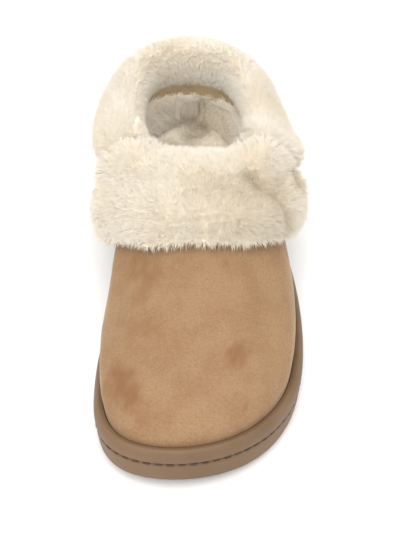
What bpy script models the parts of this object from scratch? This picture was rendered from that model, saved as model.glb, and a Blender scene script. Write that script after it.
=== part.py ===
"""Fur-lined clog for the left foot, standing on its sole.

Toe towards -Y, heel towards +Y, outer (lateral) side of the foot towards +X.
Stations run from the toe tip to the heel as fractions of the sole's length, side
distances are fractions of the ball width, and the turn angle goes round the last:
0 at the toe, positive down the lateral side, negative down the medial side, 180 at
the heel. Lengths and heights are in metres.
"""

import math
from collections import namedtuple

import bmesh
import bpy
import numpy as np
from mathutils import Matrix, Vector

# Driving dimensions, in metres.
SOLE_LENGTH = 0.2540
BALL_WIDTH = 0.1040
BALL_SOLE = 0.0210          # floor to the rim under the ball
HEEL_SOLE = 0.0275          # floor to the rim at the heel
TOE_SPRING = 0.0078         # the tread's lift at the toe tip
RIM_WIDTH = 0.0053          # how far the sole's rim stands out past the upper
RIM_DEPTH = 0.0030          # how deep the upper sits inside the rim
SUEDE_WALL = 0.0025
INSOLE_THICKNESS = 0.0050
INSOLE_CROWN = 0.0012       # height of the insole's rounded edge
GAP = 0.0003                # clearance between pieces that touch
PILE_GAP = 0.0006           # clearance between the curved fur pieces and the upper
GROOVE_WIDTH = 0.0034       # the tread's cross grooves
GROOVE_DEPTH = 0.0022
TREAD_EDGE = 0.0100         # uncut border round the tread

STATIONS = 28               # steps from toe to heel down each side
UPPER_ROWS = 8              # steps from the sole to the collar's edge
FUR_COLUMNS = 30            # sections along each folded fur piece
WING_COLUMNS = 9            # sections along each wing of the front cuff
TREAD_GROOVES = (0.16, 0.21, 0.26, 0.31, 0.39, 0.44, 0.49, 0.72, 0.77, 0.86, 0.91)

PlanRow = namedtuple("PlanRow", "station medial lateral")
SOLE_PLAN = (
    PlanRow(0.000, -0.100, -0.100),
    PlanRow(0.021, -0.311, 0.139),
    PlanRow(0.083, -0.437, 0.340),
    PlanRow(0.208, -0.484, 0.491),
    PlanRow(0.333, -0.471, 0.516),
    PlanRow(0.458, -0.399, 0.494),
    PlanRow(0.563, -0.362, 0.448),
    PlanRow(0.667, -0.409, 0.363),
    PlanRow(0.792, -0.444, 0.257),
    PlanRow(0.896, -0.430, 0.208),
    PlanRow(0.967, -0.322, 0.111),
    PlanRow(1.000, -0.111, -0.111),
)

# tread: the underside's lift off the floor; rim: the height of the rim.
SideRow = namedtuple("SideRow", "station tread rim")
SOLE_SIDE = (
    SideRow(0.00, TOE_SPRING, 0.0310),
    SideRow(0.05, 0.0044, 0.0282),
    SideRow(0.11, 0.0016, 0.0252),
    SideRow(0.18, 0.0001, 0.0224),
    SideRow(0.25, 0.0000, BALL_SOLE),
    SideRow(0.45, 0.0000, BALL_SOLE),
    SideRow(0.53, 0.0012, 0.0218),
    SideRow(0.60, 0.0028, 0.0234),
    SideRow(0.66, 0.0012, 0.0248),
    SideRow(0.72, 0.0000, 0.0262),
    SideRow(0.82, 0.0000, HEEL_SOLE),
    SideRow(0.93, 0.0000, HEEL_SOLE),
    SideRow(1.00, 0.0016, HEEL_SOLE),
)

# The side of the sole from the tread up, over the rim and down to the platform.
# inset is measured in from the outline, rise from the tread or from the rim.
WallRow = namedtuple("WallRow", "name inset rise datum")
SOLE_WALL = (
    WallRow("tread edge", 0.0050, 0.0000, "tread"),
    WallRow("tucked edge", 0.0022, 0.0010, "tread"),
    WallRow("lower band foot", 0.0010, 0.0034, "tread"),
    WallRow("lower band top", 0.0006, -0.0102, "rim"),
    WallRow("groove lower lip", 0.0018, -0.0096, "rim"),
    WallRow("groove upper lip", 0.0018, -0.0084, "rim"),
    WallRow("upper band foot", 0.0002, -0.0078, "rim"),
    WallRow("upper band", 0.0000, -0.0045, "rim"),
    WallRow("rim shoulder", 0.0009, -0.0014, "rim"),
    WallRow("rim crown", 0.0026, 0.0000, "rim"),
    WallRow("rim inner edge", RIM_WIDTH, -0.0006, "rim"),
    WallRow("platform edge", RIM_WIDTH, -RIM_DEPTH, "rim"),
)

# The upper's top edge round the foot opening.
EdgeRow = namedtuple("EdgeRow", "turn station side height")
COLLAR_EDGE = (
    EdgeRow(-180, 0.937, -0.096, 0.0780),
    EdgeRow(-150, 0.909, -0.341, 0.0760),
    EdgeRow(-120, 0.803, -0.438, 0.0740),
    EdgeRow(-90, 0.677, -0.399, 0.0745),
    EdgeRow(-60, 0.614, -0.279, 0.0765),
    EdgeRow(-30, 0.591, -0.135, 0.0780),
    EdgeRow(0, 0.583, 0.010, 0.0785),
    EdgeRow(30, 0.589, 0.135, 0.0780),
    EdgeRow(60, 0.610, 0.236, 0.0765),
    EdgeRow(90, 0.669, 0.293, 0.0745),
    EdgeRow(120, 0.799, 0.274, 0.0740),
    EdgeRow(150, 0.909, 0.149, 0.0760),
)

# How each meridian of the upper leaves the sole and reaches the collar's edge:
# rise and reach are the lengths of its two handles, lean is how far it leaves
# outwards from upright and slope how steeply it arrives, both in degrees.
MeridianRow = namedtuple("MeridianRow", "turn rise lean reach slope")
MERIDIANS = (
    MeridianRow(-180, 0.020, 2, 0.020, 92),
    MeridianRow(-150, 0.020, 3, 0.019, 90),
    MeridianRow(-120, 0.020, 8, 0.018, 86),
    MeridianRow(-90, 0.022, 16, 0.020, 76),
    MeridianRow(-60, 0.021, 10, 0.038, 50),
    MeridianRow(-30, 0.019, 3, 0.060, 30),
    MeridianRow(0, 0.018, 0, 0.068, 26),
    MeridianRow(30, 0.018, 1, 0.060, 30),
    MeridianRow(60, 0.020, 5, 0.038, 50),
    MeridianRow(90, 0.021, 10, 0.020, 76),
    MeridianRow(120, 0.020, 7, 0.018, 86),
    MeridianRow(150, 0.020, 3, 0.019, 90),
)

# The fur pieces, which lie on the upper's surface. hem and top are the heights of
# the pile's lower and upper ends on the surface. The pile's depth is flank outside,
# roll over the collar's edge and inner inside.
FurRow = namedtuple("FurRow", "turn hem flank roll inner")
FRONT_CUFF = (              # folded down over the instep from the collar's edge
    FurRow(-77, 0.0452, 0.0150, 0.0140, 0.0065),
    FurRow(-60, 0.0508, 0.0140, 0.0125, 0.0085),
    FurRow(-45, 0.0554, 0.0130, 0.0110, 0.0100),
    FurRow(-30, 0.0589, 0.0125, 0.0102, 0.0105),
    FurRow(0, 0.0618, 0.0120, 0.0098, 0.0105),
    FurRow(30, 0.0592, 0.0125, 0.0102, 0.0105),
    FurRow(45, 0.0558, 0.0130, 0.0115, 0.0090),
    FurRow(60, 0.0516, 0.0145, 0.0145, 0.0070),
    FurRow(77, 0.0470, 0.0162, 0.0175, 0.0050),
)
HEEL_COLLAR = (             # rolled over the collar's edge behind the front cuff
    FurRow(82, 0.0652, 0.0168, 0.0160, 0.0070),
    FurRow(95, 0.0602, 0.0165, 0.0142, 0.0065),
    FurRow(110, 0.0570, 0.0130, 0.0110, 0.0065),
    FurRow(120, 0.0545, 0.0125, 0.0100, 0.0065),
    FurRow(135, 0.0520, 0.0130, 0.0125, 0.0060),
    FurRow(150, 0.0505, 0.0140, 0.0138, 0.0055),
    FurRow(180, 0.0500, 0.0140, 0.0140, 0.0050),
    FurRow(210, 0.0505, 0.0140, 0.0138, 0.0060),
    FurRow(225, 0.0525, 0.0130, 0.0115, 0.0075),
    FurRow(240, 0.0550, 0.0125, 0.0095, 0.0085),
    FurRow(255, 0.0585, 0.0130, 0.0100, 0.0090),
    FurRow(278, 0.0680, 0.0140, 0.0140, 0.0080),
)
WingRow = namedtuple("WingRow", "turn hem top flank")
MEDIAL_WING = (             # how the front cuff runs on back along the big toe's side
    WingRow(77, 0.0452, 0.0655, 0.0150),
    WingRow(85, 0.0420, 0.0600, 0.0145),
    WingRow(92, 0.0378, 0.0545, 0.0140),
    WingRow(100, 0.0332, 0.0505, 0.0135),
    WingRow(110, 0.0318, 0.0480, 0.0125),
    WingRow(119, 0.0345, 0.0450, 0.0085),
)
LATERAL_WING = (            # and along the little toe's side
    WingRow(77, 0.0470, 0.0660, 0.0155),
    WingRow(85, 0.0445, 0.0610, 0.0142),
    WingRow(92, 0.0408, 0.0560, 0.0130),
    WingRow(100, 0.0370, 0.0520, 0.0130),
    WingRow(110, 0.0334, 0.0490, 0.0125),
    WingRow(119, 0.0355, 0.0460, 0.0085),
)
INNER_DEPTH = 0.0100        # how far the fur runs down inside the collar
HEM_ROUND = (0.35, 0.80)    # the hem's fullness at its first two points
INNER_ROUND = (0.85, 0.40)  # the inner pile's fullness at its last two points
INNER_SHARES = (0.50, 0.75, 1.00)   # its points, as shares of its depth
ROLL_ANGLES = (45, 90, 135)         # the roll's points over the edge, in degrees
FLANK_ROWS = 7              # points up the flank of a fur section
WING_POINTS = 5             # of those, the ones its wing runs on from
# Rows of locks: how far up the flank, how far they lift from it, their length and
# how far along the pitch the row starts
LockRow = namedtuple("LockRow", "share lift length start")
FOLD_LOCKS = (
    LockRow(0.03, 0.12, 0.0100, 0.0),
    LockRow(0.30, 0.22, 0.0100, 0.5),
    LockRow(0.56, 0.26, 0.0095, 0.0),
    LockRow(0.84, 0.30, 0.0090, 0.5),
)
WING_LOCKS = (
    LockRow(0.22, 0.45, 0.0075, 0.3),
    LockRow(0.60, 0.30, 0.0085, 0.8),
)
LOCK_WIDTH = 0.0036         # radius of a lock of fur at its root
LOCK_ROOT = 0.0034          # how deep a lock's root sits in the pile
LOCK_PITCH = 0.0096         # spacing of the locks along a row
LOCK_STRAY = 0.15           # how far a lock leans from its row's direction
LOCK_LENGTHS = (0.85, 1.10)         # the spread of the locks' lengths in a row
LOCK_SIDES = 4
LOCK_SEED = 7
END_MARGIN = 3              # degrees of turn left clear of locks at a piece's ends
ROW_SAMPLES = 80            # points that measure the length of a row of locks

LEVEL_STEP = 0.01           # step along a meridian for its direction
TURN_STEP = 0.5             # step round the last for its direction, in degrees
HALVINGS = 24               # halvings that find a point on a meridian
SMOOTH_ANGLE = 40           # edges softer than this are shaded smooth, in degrees

SUEDE_COLOUR = (0.520, 0.305, 0.165, 1)
RUBBER_COLOUR = (0.300, 0.190, 0.110, 1)
FUR_COLOUR = (0.830, 0.740, 0.590, 1)
FLEECE_COLOUR = (0.600, 0.520, 0.400, 1)


# ---------------------------------------------------------------- curves and frames

def curve_through(knots, values, at):
    """Smooth curve through a few values: cubic pieces with centred slopes."""
    knots = np.asarray(knots, float)
    values = np.asarray(values, float)
    slopes = np.gradient(values, knots)
    piece = np.clip(np.searchsorted(knots, at) - 1, 0, len(knots) - 2)
    width = knots[piece + 1] - knots[piece]
    u = (np.asarray(at, float) - knots[piece]) / width
    start = (1 + 2 * u) * (1 - u) ** 2 * values[piece]
    start = start + u * (1 - u) ** 2 * width * slopes[piece]
    end = u ** 2 * (3 - 2 * u) * values[piece + 1]
    return start + end + u ** 2 * (u - 1) * width * slopes[piece + 1]


def closed_curve_through(turns, values, at):
    """The same curve closed on itself over one full turn, in degrees."""
    order = np.argsort(turns)
    turns = np.asarray(turns, float)[order]
    values = np.asarray(values, float)[order]
    knots = np.concatenate([turns - 360, turns, turns + 360])
    return curve_through(knots, np.tile(values, 3), at)


def column(rows, name):
    """One named column of a table."""
    return [getattr(row, name) for row in rows]


def turn_of(station):
    """The turn angle at which the lateral side passes a station."""
    return math.degrees(math.acos(1 - 2 * station))


def outline(turn):
    """The sole's outline: station and side, in metres, at a turn angle."""
    turns = [turn_of(row.station) for row in SOLE_PLAN]
    sides = column(SOLE_PLAN, "lateral")
    turns += [-turn_of(row.station) for row in SOLE_PLAN[1:-1]]
    sides += [row.medial for row in SOLE_PLAN[1:-1]]
    side = closed_curve_through(turns, sides, turn) * BALL_WIDTH
    station = SOLE_LENGTH * (1 - np.cos(np.radians(turn))) / 2
    return np.stack([side, station], -1)


def outward(turn):
    """Unit direction out of the outline, level with the floor."""
    turn = np.asarray(turn, float)
    along = outline(turn + TURN_STEP) - outline(turn - TURN_STEP)
    along /= np.linalg.norm(along, axis=-1, keepdims=True)
    return np.stack([along[..., 1], -along[..., 0]], -1)


def tread_height(station):
    """Lift of the tread off the floor at a station in metres."""
    lift = curve_through(column(SOLE_SIDE, "station"), column(SOLE_SIDE, "tread"),
                         np.clip(station / SOLE_LENGTH, 0, 1))
    return np.maximum(lift, 0)


def rim_height(station):
    """Height of the rim at a station in metres."""
    return curve_through(column(SOLE_SIDE, "station"), column(SOLE_SIDE, "rim"),
                         np.clip(station / SOLE_LENGTH, 0, 1))


def inset_ring(turns, inset):
    """Points of the outline moved inwards: side and station, in metres."""
    return outline(turns) - outward(turns) * inset


def edge_point(turn):
    """The collar's edge at a turn angle: side, station, height."""
    turns = column(COLLAR_EDGE, "turn")
    side = closed_curve_through(turns, column(COLLAR_EDGE, "side"), turn) * BALL_WIDTH
    station = closed_curve_through(turns, column(COLLAR_EDGE, "station"), turn)
    height = closed_curve_through(turns, column(COLLAR_EDGE, "height"), turn)
    return np.stack([side, station * SOLE_LENGTH, height], -1)


def edge_outward(turn):
    """Unit direction out of the collar's edge, level with the floor."""
    along = edge_point(turn + TURN_STEP) - edge_point(turn - TURN_STEP)
    out = np.array([along[1], -along[0], 0])
    return out / np.linalg.norm(out)


def meridian(turn):
    """Four handles of the upper's curve from inside the rim to the collar's edge."""
    turns = column(MERIDIANS, "turn")
    rise, lean, reach, slope = (
        closed_curve_through(turns, column(MERIDIANS, name), turn)
        for name in ("rise", "lean", "reach", "slope"))
    flat = inset_ring(turn, RIM_WIDTH + GAP)
    start = np.append(flat, rim_height(flat[1]) + GAP)
    end = edge_point(turn)
    out = np.append(outward(turn), 0)
    lean = math.radians(lean)
    slope = math.radians(slope)
    leave = out * math.sin(lean) + np.array([0, 0, math.cos(lean)])
    inward = -edge_outward(turn)
    arrive = inward * math.cos(slope) + np.array([0, 0, math.sin(slope)])
    return start, start + leave * rise, end - arrive * reach, end


def upper_point(turn, level):
    """The upper's outer surface: level 0 at the rim, 1 at the collar's edge."""
    a, b, c, d = meridian(turn)
    u = level
    return (1 - u) ** 3 * a + 3 * u * (1 - u) ** 2 * b + 3 * u ** 2 * (1 - u) * c + u ** 3 * d


def upper_normal(turn, level):
    """Unit direction out of the upper's surface."""
    low, high = max(level - LEVEL_STEP, 0), min(level + LEVEL_STEP, 1)
    up = upper_point(turn, high) - upper_point(turn, low)
    along = upper_point(turn + TURN_STEP, level) - upper_point(turn - TURN_STEP, level)
    normal = np.cross(along, up)
    return normal / np.linalg.norm(normal)


def level_at_height(turn, height):
    """The level at which a meridian of the upper reaches a height."""
    low, high = 0.0, 1.0
    for _ in range(HALVINGS):
        middle = (low + high) / 2
        if upper_point(turn, middle)[2] < height:
            low = middle
        else:
            high = middle
    return (low + high) / 2


# ---------------------------------------------------------------- meshes and objects

def clear_scene():
    """Remove whatever the file opened with."""
    for thing in list(bpy.data.objects):
        bpy.data.objects.remove(thing)


def new_collection(name):
    """A named collection in the scene."""
    collection = bpy.data.collections.new(name)
    bpy.context.scene.collection.children.link(collection)
    return collection


def new_material(name, colour, roughness):
    """A Principled material of one colour."""
    material = bpy.data.materials.new(name)
    material.use_nodes = True
    shader = material.node_tree.nodes["Principled BSDF"]
    shader.inputs["Base Color"].default_value = colour
    shader.inputs["Roughness"].default_value = roughness
    shader.inputs["Metallic"].default_value = 0.0
    return material


def new_object(name, mesh_builder, collection, material=None):
    """An object from a bmesh, shaded smooth across its soft edges."""
    bmesh.ops.recalc_face_normals(mesh_builder, faces=mesh_builder.faces)
    mesh = bpy.data.meshes.new(name)
    mesh_builder.to_mesh(mesh)
    mesh_builder.free()
    mesh.shade_smooth()
    mesh.set_sharp_from_angle(angle=math.radians(SMOOTH_ANGLE))
    thing = bpy.data.objects.new(name, mesh)
    collection.objects.link(thing)
    if material:
        mesh.materials.append(material)
    else:
        thing.hide_render = True
        thing.display_type = "WIRE"
    return thing


def loft(mesh_builder, rings, closed):
    """Quads between rings of points with equal counts; returns the rings' vertices."""
    rows = [[mesh_builder.verts.new(Vector(point)) for point in ring] for ring in rings]
    count = len(rows[0])
    spans = count if closed else count - 1
    for lower, upper in zip(rows, rows[1:]):
        for k in range(spans):
            after = (k + 1) % count
            mesh_builder.faces.new((lower[k], lower[after], upper[after], upper[k]))
    return rows


def ladder_cap(mesh_builder, row):
    """Close a ring with rungs from its medial to its lateral side, toe to heel."""
    toe = STATIONS
    count = len(row)
    mesh_builder.faces.new((row[toe], row[toe + 1], row[toe - 1]))
    for k in range(1, STATIONS - 1):
        medial = (row[toe - k], row[toe - k - 1])
        lateral = (row[toe + k + 1], row[toe + k])
        mesh_builder.faces.new(medial + lateral)
    mesh_builder.faces.new((row[1], row[0], row[count - 1]))


def sole_turns():
    """Turn angles of the columns round the sole and the upper."""
    return np.linspace(-180, 180, 2 * STATIONS, endpoint=False)


# ---------------------------------------------------------------- the pieces

def make_outsole(parts, cutters):
    """Moulded rubber sole: banded side, rim, platform and grooved tread."""
    mesh_builder = bmesh.new()
    datum = {"tread": tread_height, "rim": rim_height}
    rings = []
    for wall in SOLE_WALL:
        flat = inset_ring(sole_turns(), wall.inset)
        height = datum[wall.datum](flat[:, 1]) + wall.rise
        rings.append(np.column_stack([flat, height]))
    rows = loft(mesh_builder, rings, closed=True)
    ladder_cap(mesh_builder, rows[0])
    ladder_cap(mesh_builder, rows[-1])
    rubber = new_material("sole_rubber", RUBBER_COLOUR, 0.65)
    outsole = new_object("outsole", mesh_builder, parts, rubber)

    grooves = bmesh.new()
    for station in TREAD_GROOVES:
        add_groove(grooves, station * SOLE_LENGTH)
    cut = outsole.modifiers.new("tread grooves", "BOOLEAN")
    cut.operation = "DIFFERENCE"
    cut.solver = "EXACT"
    cut.object = new_object("tread_grooves", grooves, cutters)
    return outsole


def add_groove(mesh_builder, station):
    """One cross groove of the tread, as a box to cut with."""
    turn = turn_of(station / SOLE_LENGTH)
    lateral = inset_ring(turn, TREAD_EDGE)[0]
    medial = inset_ring(-turn, TREAD_EDGE)[0]
    top = float(tread_height(station)) + GROOVE_DEPTH
    bottom = -GROOVE_DEPTH
    cube = bmesh.ops.create_cube(mesh_builder, size=1)
    size = Vector((lateral - medial, GROOVE_WIDTH, top - bottom))
    centre = Vector(((lateral + medial) / 2, station, (top + bottom) / 2))
    bmesh.ops.scale(mesh_builder, vec=size, verts=cube["verts"])
    bmesh.ops.translate(mesh_builder, vec=centre, verts=cube["verts"])


def make_insole(parts):
    """Padded footbed that lies on the platform inside the upper."""
    mesh_builder = bmesh.new()
    edge = RIM_WIDTH + GAP + SUEDE_WALL + PILE_GAP
    rings = []
    for inset, rise in ((0, 0), (0, INSOLE_THICKNESS - INSOLE_CROWN),
                        (INSOLE_CROWN, INSOLE_THICKNESS)):
        flat = inset_ring(sole_turns(), edge + inset)
        height = rim_height(flat[:, 1]) - RIM_DEPTH + GAP + rise
        rings.append(np.column_stack([flat, height]))
    rows = loft(mesh_builder, rings, closed=True)
    ladder_cap(mesh_builder, rows[0])
    ladder_cap(mesh_builder, rows[-1])
    fleece = new_material("lining_fleece", FLEECE_COLOUR, 0.95)
    return new_object("insole", mesh_builder, parts, fleece)


def make_upper(parts):
    """Hollow suede upper, open at the collar and underneath."""
    mesh_builder = bmesh.new()
    turns = sole_turns()
    foot = np.array([meridian(turn)[0] for turn in turns])
    foot[:, 2] -= RIM_DEPTH
    rings = [foot]
    for level in np.linspace(0, 1, UPPER_ROWS + 1):
        rings.append(np.array([upper_point(turn, level) for turn in turns]))
    loft(mesh_builder, rings, closed=True)
    suede = new_material("upper_suede", SUEDE_COLOUR, 0.9)
    upper = new_object("upper", mesh_builder, parts, suede)
    wall = upper.modifiers.new("wall", "SOLIDIFY")
    wall.thickness = SUEDE_WALL
    wall.offset = -1
    wall.use_even_offset = True
    return upper


def in_table(rows, name, turn):
    """A named column of a fur table at a turn."""
    return float(curve_through(column(rows, "turn"), column(rows, name), turn))


def along_flank(turn, hem, top, count):
    """Points up the upper from the hem, with the outward direction at each."""
    low = level_at_height(turn, hem)
    high = 1.0 if top is None else level_at_height(turn, top)
    levels = np.linspace(low, high, count)
    points = [upper_point(turn, level) for level in levels]
    normals = [upper_normal(turn, level) for level in levels]
    return points, normals


def folded_section(turn, rows):
    """Closed section of a fur piece folded over the collar's edge."""
    flank, roll = in_table(rows, "flank", turn), in_table(rows, "roll", turn)
    inner = in_table(rows, "inner", turn)
    points, normals = along_flank(turn, in_table(rows, "hem", turn), None, FLANK_ROWS)
    piles = np.full(FLANK_ROWS, flank)
    piles[:2] *= HEM_ROUND
    piles[-2:] = (flank + roll) / 2, roll
    edge, out = points[-1], normals[-1]
    up = points[-1] - points[-2]
    up = up - out * np.dot(up, out)
    up = up / np.linalg.norm(up)
    outer = [p + n * (PILE_GAP + pile) for p, n, pile in zip(points, normals, piles)]
    inside_edge = edge - out * (SUEDE_WALL + PILE_GAP)
    roll_centre = (edge + inside_edge) / 2 + up * PILE_GAP
    for angle, radius in zip(ROLL_ANGLES, (roll, roll, (roll + inner) / 2)):
        swing = math.radians(angle)
        outer.append(roll_centre + (out * math.cos(swing) + up * math.sin(swing)) * radius)
    outer.append(inside_edge - out * inner)
    lining, inward = zip(*[lining_point(turn, share * INNER_DEPTH) for share in INNER_SHARES])
    for k, fullness in enumerate(INNER_ROUND, start=1):
        outer.append(lining[k] + inward[k] * inner * fullness)
    backing = [lining[2], lining[0], inside_edge + up * PILE_GAP,
               edge + out * PILE_GAP + up * PILE_GAP]
    backing += [p + n * PILE_GAP for p, n in zip(points[-2::-1], normals[-2::-1])]
    return outer + backing


def lining_point(turn, depth):
    """A point just inside the upper, a depth down from the collar's edge."""
    edge = upper_point(turn, 1)
    low, high = 0.0, 1.0
    for _ in range(HALVINGS):
        middle = (low + high) / 2
        if np.linalg.norm(edge - upper_point(turn, middle)) > depth:
            low = middle
        else:
            high = middle
    inward = -upper_normal(turn, middle)
    return upper_point(turn, middle) + inward * (SUEDE_WALL + PILE_GAP), inward


def wing_section(turn, side, wing):
    """Closed section of the front cuff's wing; side is 1 lateral, -1 medial."""
    hem, top = in_table(wing, "hem", turn), in_table(wing, "top", turn)
    flank = in_table(wing, "flank", turn)
    points, normals = along_flank(side * turn, hem, top, WING_POINTS)
    piles = np.full(WING_POINTS, flank)
    piles[:2] *= HEM_ROUND
    piles[-2:] *= HEM_ROUND[::-1]
    outer = [p + n * (PILE_GAP + pile) for p, n, pile in zip(points, normals, piles)]
    backing = [p + n * PILE_GAP for p, n in zip(points[::-1], normals[::-1])]
    return outer + backing


def fur_turns(rows, count):
    """Turn angles of the sections along a fur piece."""
    return np.linspace(rows[0].turn, rows[-1].turn, count)


def add_wing(mesh_builder, end, side, wing):
    """Run the lower part of the cuff's end section on as a wing; close the rest."""
    start = end[:WING_POINTS] + end[-WING_POINTS:]
    mesh_builder.faces.new(end[WING_POINTS - 1:1 - WING_POINTS])
    turns = fur_turns(wing, WING_COLUMNS)[1:]
    sections = [wing_section(turn, side, wing) for turn in turns]
    rows = loft(mesh_builder, sections, closed=True)
    for k in range(len(start)):
        after = (k + 1) % len(start)
        mesh_builder.faces.new((start[k], start[after], rows[0][after], rows[0][k]))
    mesh_builder.faces.new(rows[-1])


def skin_at(turn, side, rows, share):
    """Point on a fur flank's skin, its outward direction and the way down the hem."""
    flank = in_table(rows, "flank", turn)
    low = level_at_height(side * turn, in_table(rows, "hem", turn))
    high = 1.0
    if isinstance(rows[0], WingRow):
        high = level_at_height(side * turn, in_table(rows, "top", turn))
    level = low + (high - low) * share
    point = upper_point(side * turn, level)
    out = upper_normal(side * turn, level)
    down = upper_point(side * turn, level - LEVEL_STEP) - point
    down /= np.linalg.norm(down)
    fullness = np.interp(share * (FLANK_ROWS - 1), (0, 1, 2), HEM_ROUND + (1,))
    return point + out * (PILE_GAP + flank * fullness), out, down


def add_locks(mesh_builder, rows, side, lock_rows, chance):
    """Rows of locks of fur along a piece, each a cone rooted in its pile."""
    turns = np.linspace(rows[0].turn + END_MARGIN, rows[-1].turn - END_MARGIN, ROW_SAMPLES)
    for lock in lock_rows:
        path = np.array([skin_at(turn, side, rows, lock.share)[0] for turn in turns])
        steps = np.linalg.norm(np.diff(path, axis=0), axis=1)
        along = np.concatenate([[0], np.cumsum(steps)])
        for run in np.arange(lock.start * LOCK_PITCH, along[-1], LOCK_PITCH):
            turn = float(np.interp(run, along, turns))
            point, out, down = skin_at(turn, side, rows, lock.share)
            stray = chance.uniform(-LOCK_STRAY, LOCK_STRAY, 3)
            way = Vector(down * (1 - lock.lift) + out * lock.lift).normalized()
            way = (way + Vector(stray)).normalized()
            length = lock.length * chance.uniform(*LOCK_LENGTHS)
            centre = Vector(point) + way * (length / 2 - LOCK_ROOT)
            place = Matrix.Translation(centre) @ way.to_track_quat("Z", "Y").to_matrix().to_4x4()
            bmesh.ops.create_cone(mesh_builder, cap_ends=True, segments=LOCK_SIDES,
                                  radius1=LOCK_WIDTH, radius2=0, depth=length, matrix=place)


def fuse_locks(piece, locks, cutters):
    """Join a piece's locks onto it."""
    union = piece.modifiers.new("locks", "BOOLEAN")
    union.operation = "UNION"
    union.solver = "EXACT"
    union.use_self = True
    union.object = new_object(piece.name + "_locks", locks, cutters)


def make_front_cuff(parts, cutters):
    """Fur folded down over the instep, with a wing back along each side."""
    mesh_builder = bmesh.new()
    turns = fur_turns(FRONT_CUFF, FUR_COLUMNS)
    sections = [folded_section(turn, FRONT_CUFF) for turn in turns]
    rows = loft(mesh_builder, sections, closed=True)
    add_wing(mesh_builder, rows[0], -1, MEDIAL_WING)
    add_wing(mesh_builder, rows[-1], 1, LATERAL_WING)
    fur = new_material("cuff_fur", FUR_COLOUR, 1.0)
    cuff = new_object("front_cuff", mesh_builder, parts, fur)
    locks = bmesh.new()
    chance = np.random.default_rng(LOCK_SEED)
    add_locks(locks, FRONT_CUFF, 1, FOLD_LOCKS, chance)
    add_locks(locks, LATERAL_WING, 1, WING_LOCKS, chance)
    add_locks(locks, MEDIAL_WING, -1, WING_LOCKS, chance)
    fuse_locks(cuff, locks, cutters)


def make_heel_collar(parts, cutters):
    """Fur rolled over the collar's edge, round the heel from side to side."""
    mesh_builder = bmesh.new()
    turns = fur_turns(HEEL_COLLAR, FUR_COLUMNS)
    sections = [folded_section(turn, HEEL_COLLAR) for turn in turns]
    rows = loft(mesh_builder, sections, closed=True)
    mesh_builder.faces.new(rows[0])
    mesh_builder.faces.new(rows[-1][::-1])
    fur = new_material("collar_fur", FUR_COLOUR, 1.0)
    collar = new_object("heel_collar", mesh_builder, parts, fur)
    locks = bmesh.new()
    chance = np.random.default_rng(LOCK_SEED + 1)
    add_locks(locks, HEEL_COLLAR, 1, FOLD_LOCKS, chance)
    fuse_locks(collar, locks, cutters)


def stand_on_origin(collections):
    """Move every mesh so that the part's box stands centred on the origin."""
    bpy.context.view_layer.update()
    depsgraph = bpy.context.evaluated_depsgraph_get()
    corners = []
    for thing in collections[0].objects:
        mesh = thing.evaluated_get(depsgraph).to_mesh()
        corners += [vertex.co.copy() for vertex in mesh.vertices]
    corners = np.array(corners)
    low, high = corners.min(0), corners.max(0)
    move = Vector((-(low[0] + high[0]) / 2, -(low[1] + high[1]) / 2, -low[2]))
    for collection in collections:
        for thing in collection.objects:
            thing.data.transform(Matrix.Translation(move))


def main():
    clear_scene()
    parts = new_collection("fur_lined_clog")
    cutters = new_collection("cutters")
    make_outsole(parts, cutters)
    make_insole(parts)
    make_upper(parts)
    make_front_cuff(parts, cutters)
    make_heel_collar(parts, cutters)
    stand_on_origin((parts, cutters))


if __name__ == "__main__":
    main()
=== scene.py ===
"""Finish for the fur-lined clog: suede upper, moulded sole, fleece lining and deep fur."""

import math
from collections import namedtuple

import bmesh
import bpy
import numpy as np
from bpy.props import FloatProperty, FloatVectorProperty, IntProperty, PointerProperty
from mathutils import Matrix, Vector, noise
from mathutils.bvhtree import BVHTree
from mathutils.kdtree import KDTree


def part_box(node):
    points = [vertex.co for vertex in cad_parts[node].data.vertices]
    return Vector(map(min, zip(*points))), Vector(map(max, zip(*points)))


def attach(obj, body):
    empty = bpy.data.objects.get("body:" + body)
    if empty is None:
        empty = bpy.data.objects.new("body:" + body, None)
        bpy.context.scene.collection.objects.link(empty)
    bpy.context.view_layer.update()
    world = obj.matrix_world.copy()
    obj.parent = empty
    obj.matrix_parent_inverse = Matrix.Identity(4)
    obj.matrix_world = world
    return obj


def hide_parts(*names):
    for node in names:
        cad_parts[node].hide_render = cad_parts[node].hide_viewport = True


bl_info = {
    "name": "Fur-lined clog",
    "version": (1, 0, 0),
    "blender": (4, 5, 0),
    "location": "3D View > Sidebar > Clog",
    "description": "Builds the finished pieces of a left fur-lined clog",
    "category": "Object",
}

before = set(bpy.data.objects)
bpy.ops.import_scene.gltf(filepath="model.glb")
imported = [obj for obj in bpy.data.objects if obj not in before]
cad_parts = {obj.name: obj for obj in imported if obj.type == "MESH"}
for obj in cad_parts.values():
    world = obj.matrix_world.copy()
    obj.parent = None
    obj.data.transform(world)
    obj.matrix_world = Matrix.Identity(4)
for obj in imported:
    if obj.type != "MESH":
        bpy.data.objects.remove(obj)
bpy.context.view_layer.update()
BODY = "root"

# The shoe's own measures: side is towards the little toe, station back from the toe's tip
SOLE_LOW, SOLE_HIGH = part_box("outsole")
TOE_Y = SOLE_LOW.y
LAST_X = (SOLE_LOW.x + SOLE_HIGH.x) / 2 - 0.0017

# Height of the sole's rim along the shoe (station, height), and how far below it the
# stitched groove runs
RIM_LINE = ((0, .0310), (.0127, .0282), (.0279, .0252), (.0457, .0224), (.0635, .0210),
            (.1143, .0210), (.1346, .0218), (.1524, .0234), (.1676, .0248), (.1829, .0262),
            (.2083, .0275), (.2540, .0275))
GROOVE_BELOW_RIM = 0.0090
GROOVE_POINTS = 720         # places round the shoe where the groove is found
GROOVE_FILL = 0.0007        # how far its bottom is raised between the stitches
STITCH_RADIUS = 0.00072
LAST_MIDDLE = -0.004        # side of the line that the last's inside is seen from

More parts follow.
